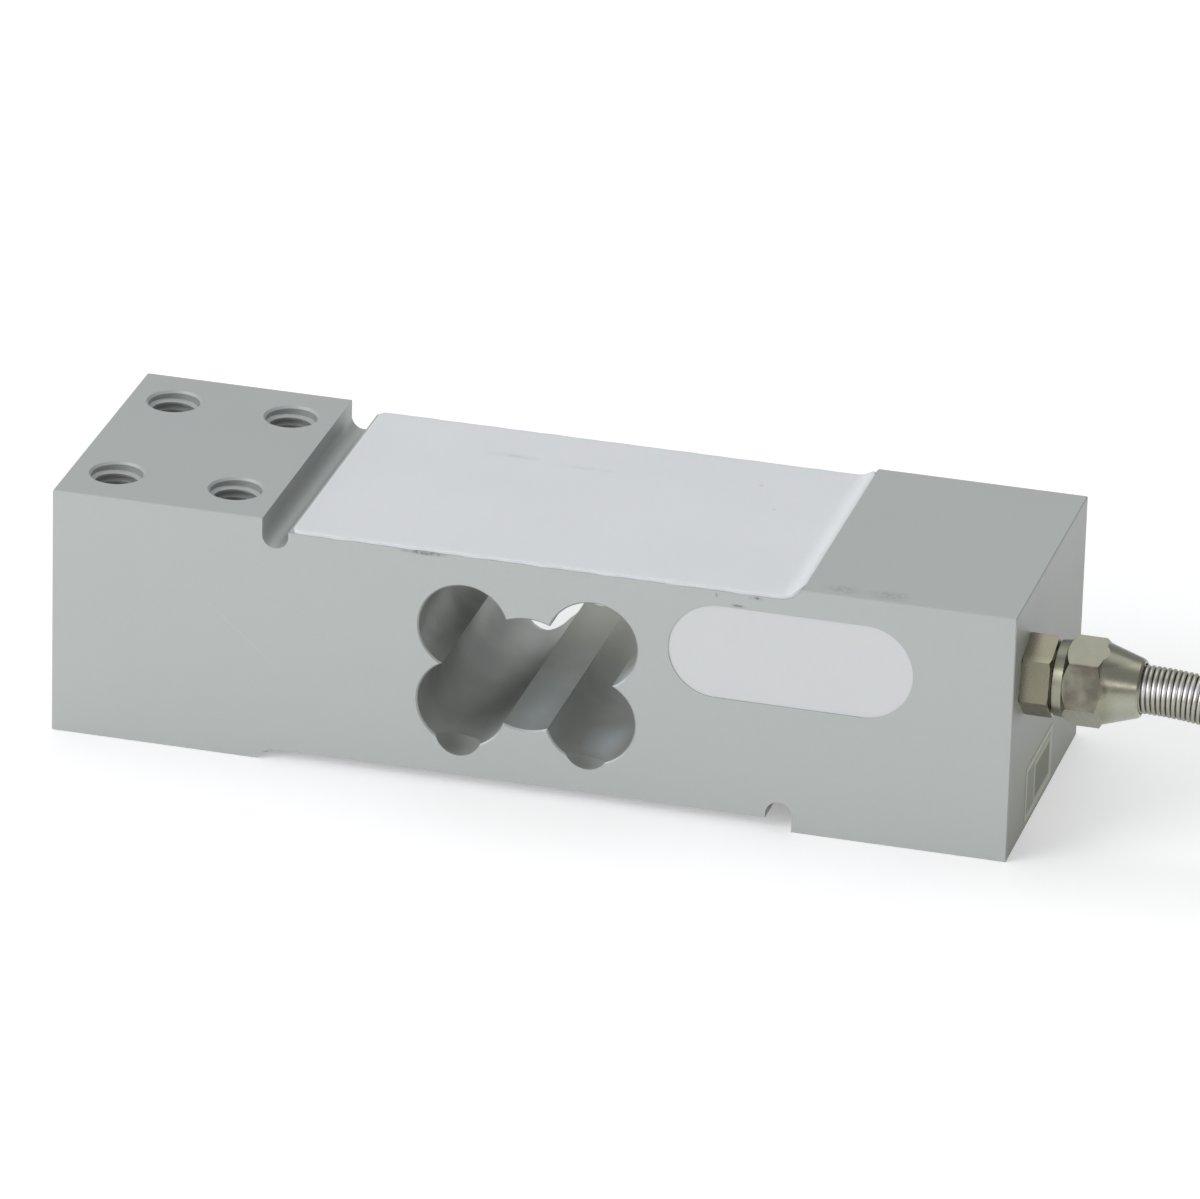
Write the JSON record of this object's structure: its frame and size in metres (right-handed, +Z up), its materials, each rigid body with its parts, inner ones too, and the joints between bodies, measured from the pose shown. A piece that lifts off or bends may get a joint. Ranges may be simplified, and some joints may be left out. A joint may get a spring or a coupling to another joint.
{
  "type": "single point load cell",
  "caption": "Aluminium binocular beam with a four-lobe flexure opening, gauges sealed under white silicone, tapped load and mounting faces, and a sprung cable gland.",
  "frame": {"origin": "centre of the beam's underside, in the plane of the mounting face", "axes": "+X along the beam from the load end to the cable end, +Z up out of the load face, -Y out of the face with the wiring pocket"},
  "size_m": [0.3335, 0.0543, 0.04],
  "materials": {
    "beam_aluminium": "fine blasted and clear anodised",
    "white_silicone": "smooth, soft sheen",
    "gauge_film": "amber film with foil grid",
    "copper_tab": "bare copper",
    "enamelled_wire": "enamel",
    "board_laminate": "solder mask",
    "solder": "bright solder",
    "resistor_body": "lacquered winding",
    "insulation_red": "extruded",
    "insulation_black": "extruded",
    "insulation_green": "extruded",
    "insulation_white": "extruded",
    "nickel_brass": "dull nickel plate",
    "black_rubber": "moulded",
    "spring_steel": "drawn wire",
    "cable_jacket": "extruded jacket",
    "tie_nylon": "natural nylon",
    "heat_shrink": "shrunk sleeve",
    "tinned_copper": "tinned strands"
  },
  "bodies": {
    "root": {"anti_kink_spring": "spring_steel", "beam": "beam_aluminium", "cable": "cable_jacket", "cable_coil": "cable_jacket", "cable_in_gland": "cable_jacket", "cable_tail": "cable_jacket", "coil_tie": "tie_nylon", "core_black": "insulation_black", "core_green": "insulation_green", "core_red": "insulation_red", "core_white": "insulation_white", "end_sleeve": "heat_shrink", "gland_body": "nickel_brass", "gland_clamp_ring": "nickel_brass", "gland_grommet": "black_rubber", "gland_nut": "nickel_brass", "gland_seal": "black_rubber", "jumper_wires_top": "enamelled_wire", "jumper_wires_underside": "enamelled_wire", "lead_black": "insulation_black", "lead_green": "insulation_green", "lead_red": "insulation_red", "lead_white": "insulation_white", "silicone_pocket": "white_silicone", "silicone_top": "white_silicone", "silicone_underside": "white_silicone", "solder_pads": "solder", "solder_tabs_top": "copper_tab", "solder_tabs_underside": "copper_tab", "strain_gauge_top_left": "gauge_film", "strain_gauge_top_right": "gauge_film", "strain_gauge_underside_left": "gauge_film", "strain_gauge_underside_right": "gauge_film", "terminal_board": "board_laminate", "tinned_ends": "tinned_copper", "trim_resistors": "resistor_body"}
  },
  "joints": []
}
